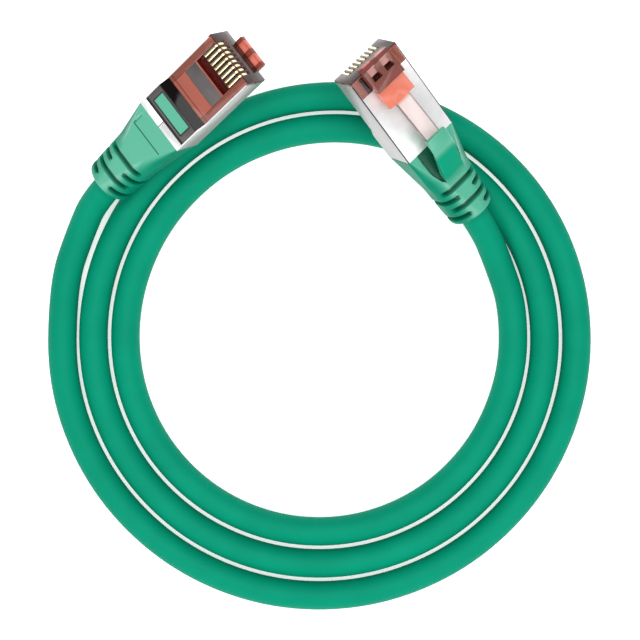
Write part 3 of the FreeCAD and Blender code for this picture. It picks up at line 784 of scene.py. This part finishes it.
def boot_section(along):
    """The boot's outline at a place along the plug."""
    if along <= WAIST:
        share = (along - PLUG_LENGTH) / (WAIST - PLUG_LENGTH)
        half_width = blend_between(HALF_WIDTH, WAIST_HALF, share)
        half_high = blend_between(FRONT_HIGH, (FRONT_HIGH + TAIL_RADIUS) / 2, share)
        corner = blend_between(FRONT_CORNER, WAIST_CORNER, share)
    else:
        share = (along - WAIST) / (BOOT_END - WAIST)
        half_width = blend_between(WAIST_HALF, TAIL_RADIUS, share)
        half_high = blend_between((FRONT_HIGH + TAIL_RADIUS) / 2, TAIL_RADIUS, share)
        corner = blend_between(WAIST_CORNER, TAIL_CORNER, share)
    flatness = min(max((WAIST - along) / FLATNESS_FADE, 0.0), 1.0) * CORNER_FLATNESS
    return rounded_outline(half_width, AXIS_Z - half_high, AXIS_Z + half_high, corner, flatness)


def slot_share(along, across):
    """How deep the flexing slots are cut at a point: whole rows and split rows by turns."""
    deepest = 0.0
    for row in range(4):
        middle = RIB_START + row * RIB_STEP + RIB_WIDTH / 2
        if row % 2 == 0:
            away = rounded_box_distance(along - middle, across, RIB_WIDTH / 2, RIB_REACH, RIB_CORNER)
        else:
            away = rounded_box_distance(along - middle, abs(across) - RIB_SIDE - SPLIT_HALF,
                                        RIB_WIDTH / 2, SPLIT_HALF, RIB_CORNER)
        deepest = max(deepest, cut_share(away, RIB_SOFT))
    return deepest


def boot_ring(along, tail_round):
    """One ring of the outside, with slots, channel and panel line pressed into it.

    Each point comes with how polished its face is, which also sets its painted sheen, and how deep it lies
    in a cut, which sets its painted shade.
    """
    ring = []
    for point, outward in boot_section(along):
        across = point.x
        cut = slot_share(along, across)
        point = point - outward * (RIB_DEPTH * cut + tail_round)
        if point.y > CHANNEL_FLOOR:
            taper = max(0.0, (along - CHANNEL_TAPER) / (CHANNEL_END - CHANNEL_TAPER)) ** 2
            away = rounded_box_distance(along - CHANNEL_END + CHANNEL_REACH, across, CHANNEL_REACH,
                                        CHANNEL_HALF - CHANNEL_NARROWING * taper, CHANNEL_CORNER)
            share = cut_share(away, CHANNEL_SOFT)
            point.y = blend_between(point.y, CHANNEL_FLOOR, share)
            cut = max(cut, share)
        if point.y < 0:
            cross_line = rounded_box_distance(along - PANEL_LINE, across, PANEL_GROOVE, PANEL_HALF,
                                              PANEL_CORNER)
            side_line = rounded_box_distance(along - (PANEL_LINE + PANEL_FRONT) / 2, across - PANEL_HALF,
                                             (PANEL_LINE - PANEL_FRONT) / 2, PANEL_GROOVE, PANEL_CORNER)
            share = cut_share(min(cross_line, side_line), PANEL_SOFT)
            point.y += PANEL_DEPTH * share
            cut = max(cut, share)
        # The second value sets the polish and the painted sheen, the third the painted shade in the cuts.
        ring.append(((along, point.x, point.y), abs(outward.y) ** 6, cut))
    return ring


def boot_stations():
    """Places along the boot for its rings, close together where something is cut."""
    places = [PLUG_LENGTH + index * RING_STEP for index in range(1, 18)]
    edges = [PANEL_LINE - PANEL_GROOVE, PANEL_LINE + PANEL_GROOVE, CHANNEL_END]
    for row in range(4):
        start = RIB_START + row * RIB_STEP
        edges.extend((start, start + RIB_WIDTH))
        places.extend((start + 0.25, start + 0.5, start + 0.75, start + RIB_WIDTH + 0.4))
    for edge in edges:
        places.extend(edge + shift for shift in (-0.1, -0.05, 0.0, 0.05, 0.1))
    return sorted({round(place, 3) for place in places if PLUG_LENGTH + 0.2 < place < BOOT_END - 0.45})


def bore_ring(along, half_width, low, high, corner):
    outline = rounded_outline(half_width, low, high, corner, 0.0)
    return [((along, point.x, point.y), 0.0, 0.0) for point, _ in outline]


def make_boot_mesh():
    """Rings outside from front to tail, then back through the bore, joined into one closed skin."""
    rings = [boot_ring(PLUG_LENGTH, 0.1), boot_ring(PLUG_LENGTH + 0.1, 0.0)]
    rings.extend(boot_ring(along, 0.0) for along in boot_stations())
    for index in range(5):
        turn = direction(90 * index / 4)
        rings.append(boot_ring(BOOT_END - TAIL_ROUND + TAIL_ROUND * turn.y, TAIL_ROUND * (1 - turn.x)))
    bore = CABLE_RADIUS + BORE_PLAY
    for along in (BOOT_END, MOULD_END):
        rings.append(bore_ring(along, bore, AXIS_Z - bore, AXIS_Z + bore, bore - 0.01))
    for along in (MOULD_END, PLUG_LENGTH):
        rings.append(bore_ring(along, *MOULD_BORE))
    bm = bmesh.new()
    polish_and_sheen = bm.verts.layers.float.new("polish_and_sheen")
    depth = bm.verts.layers.float.new("cut_shade")
    loops = []
    for ring in rings:
        loop = []
        for point, polish_and_sheen_share, cut in ring:
            vert = bm.verts.new(point)
            vert[polish_and_sheen] = polish_and_sheen_share
            vert[depth] = cut
            loop.append(vert)
        loops.append(loop)
    for ring, following in zip(loops, loops[1:] + loops[:1]):
        for index in range(len(ring)):
            after = (index + 1) % len(ring)
            bm.faces.new((ring[index], ring[after], following[after], following[index]))
    return bm


def noted(tree, name):
    """A value noted at each point of the mesh."""
    note = tree.nodes.new("ShaderNodeAttribute")
    note.attribute_name = name
    return note.outputs["Fac"]


def mark_polish_and_sheen(bm):
    """Notes that the whole mesh is polished and carries the painted sheen."""
    polish_and_sheen = bm.verts.layers.float.new("polish_and_sheen")
    for vert in bm.verts:
        vert[polish_and_sheen] = 1.0
    return bm


def boot_plastic():
    """Green PVC: its flat faces are polished in the mould and painted lighter as a sheen; its sides, cuts
    and hood slope are dull, with painted shade in the cuts and a darker green painted on the hood slope as
    shade.
    """
    material, tree, shader = moulded_plastic("soft_green_pvc", BOOT_DEEP, BOOT_LIGHT, 0.36)
    polish_and_sheen = noted(tree, "polish_and_sheen")
    place = plug_place(tree)
    # Painted shade: the hood's slope loses its polish and painted sheen and is painted a darker green.
    slope = maths(tree, "MULTIPLY", spread_over(tree, place["Z"], HOOD_LOW, HOOD_LOW + 0.2),
                  within(tree, place["X"], *HOOD_SLOPE, 0.7))
    polish_and_sheen = maths(tree, "MULTIPLY", polish_and_sheen, spread_over(tree, slope, 1.0, 0.0))
    # Painted sheen: the polished faces are painted a lighter green.
    colour = paint(tree, polish_and_sheen, shader.inputs["Base Color"].links[0].from_socket, BOOT_PAINTED_SHEEN)
    colour = paint(tree, slope, colour, HOOD_SLOPE_PAINTED_SHADE)
    # Painted shade: the slots, the channel and the panel line are painted dark green.
    link(tree, paint(tree, noted(tree, "cut_shade"), colour, BOOT_CUT_PAINTED_SHADE), shader.inputs["Base Color"])
    shine = maths(tree, "MULTIPLY", polish_and_sheen, 0.9)
    link(tree, maths(tree, "ADD", shine, 0.04), shader.inputs["Specular IOR Level"])
    return material


def make_boots():
    material = boot_plastic()
    for plug in PLUGS:
        place_piece(f"boot_{plug}_moulding", make_boot_mesh(), plug, material, "cable",
                    [f"boot_{plug}"])
        guard = cad_copy(f"latch_guard_{plug}", plug)
        soften(guard, HOOD_EDGE, 3)
        place_piece(f"latch_guard_{plug}_hood", mark_polish_and_sheen(guard), plug, material, f"latch_guard_{plug}",
                    [f"latch_guard_{plug}"])
        # The inner mould, like the hood, is polished and carries the painted sheen all over.
        inner = mark_polish_and_sheen(cad_copy(f"inner_mould_{plug}", plug))
        place_piece(f"inner_mould_{plug}_block", inner, plug, material, "cable",
                    [f"inner_mould_{plug}"])


make_boots()

# Inside the plugs: eight insulated wires, the tinned braid round them and a crimped copper ferrule. Little
# of them shows, through the clear housing.
WIRE_COLOURS = ((0.75, 0.60, 0.48), (0.70, 0.22, 0.04), (0.62, 0.70, 0.62), (0.03, 0.10, 0.45),
                (0.60, 0.64, 0.75), (0.02, 0.30, 0.08), (0.62, 0.55, 0.50), (0.20, 0.08, 0.03))
METALS = (("tinned_braid", (0.45, 0.45, 0.46), (0.75, 0.75, 0.76), 0.35, ("braid_screen",)),
          ("crimped_copper", (0.62, 0.42, 0.26), (0.80, 0.60, 0.42), 0.3,
           ("crimp_ferrule_a", "crimp_ferrule_b")))


def dress_node(node_name, material):
    node = frame["nodes"][node_name]
    node.data.materials.clear()
    node.data.materials.append(material)


def make_insides():
    for index, colour in enumerate(WIRE_COLOURS):
        faded = tuple(0.85 * part for part in colour)
        skin, _, _ = moulded_plastic(f"wire_skin_{index + 1}", (*faded, 1.0), (*colour, 1.0), 0.4)
        dress_node(f"wire_{index + 1}", skin)
    for name, dull, bright, roughness, node_names in METALS:
        metal, _, shader = moulded_plastic(name, (*dull, 1.0), (*bright, 1.0), roughness)
        shader.inputs["Metallic"].default_value = 1.0
        for node_name in node_names:
            dress_node(node_name, metal)


make_insides()

# The whole cable is one free cord: a round jacketed cable, laid in one coil. It leaves boot a and carries
# plug b, with every piece fixed to it, at its far end.
ON_PLUG_B = ["housing_b_shell", "shield_b_sheet", "latch_b_tongue", "wire_comb_b_block",
             "relief_clamp_b_block", "boot_b_moulding", "latch_guard_b_hood", "inner_mould_b_block"]
ON_PLUG_B += [f"contact_b_{index}_blade" for index in range(1, 9)]
